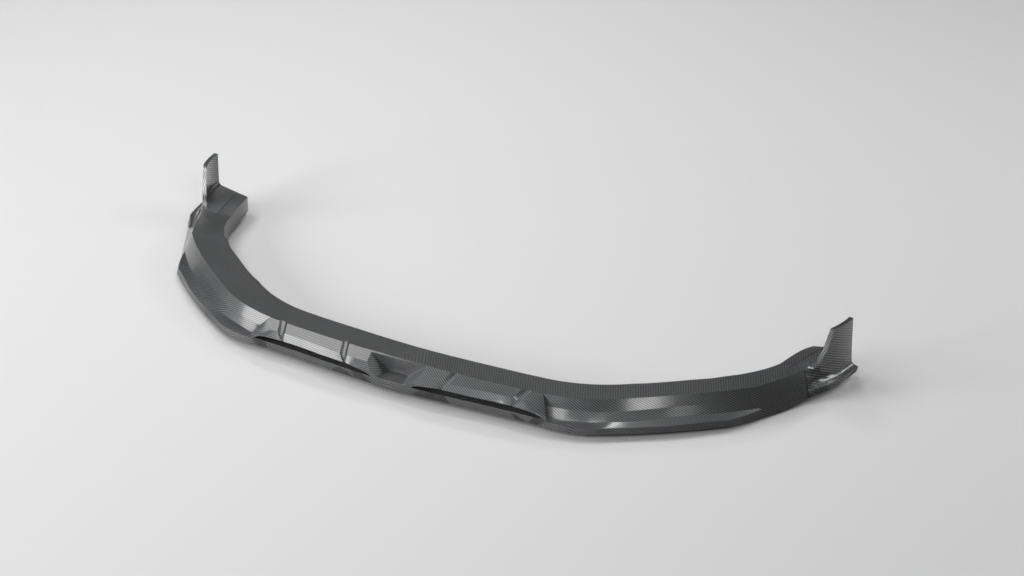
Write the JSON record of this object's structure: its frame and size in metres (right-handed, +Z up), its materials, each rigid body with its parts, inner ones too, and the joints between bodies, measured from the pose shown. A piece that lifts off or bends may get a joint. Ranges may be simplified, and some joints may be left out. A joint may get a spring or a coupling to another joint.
{
  "type": "front splitter lip",
  "caption": "Wide U-shaped carbon-fibre front lip for a car, with a raised blade over duct slots, a middle scoop and an upright fin with a small canard at each end.",
  "frame": {"origin": "middle of the bounding box in X and Y, on the floor that the lowest edge stands on", "axes": "+X to the lip's own left-right axis, towards the right of the picture, +Y rearwards along the car, +Z up"},
  "size_m": [1.881, 0.6379, 0.155],
  "materials": {
    "lip_carbon": "clear-lacquered 2x2 twill carbon fibre",
    "winglet_carbon": "clear-lacquered 2x2 twill carbon fibre"
  },
  "bodies": {
    "root": {"main_lip": "lip_carbon", "left_winglet": "winglet_carbon", "right_winglet": "winglet_carbon"}
  },
  "joints": []
}
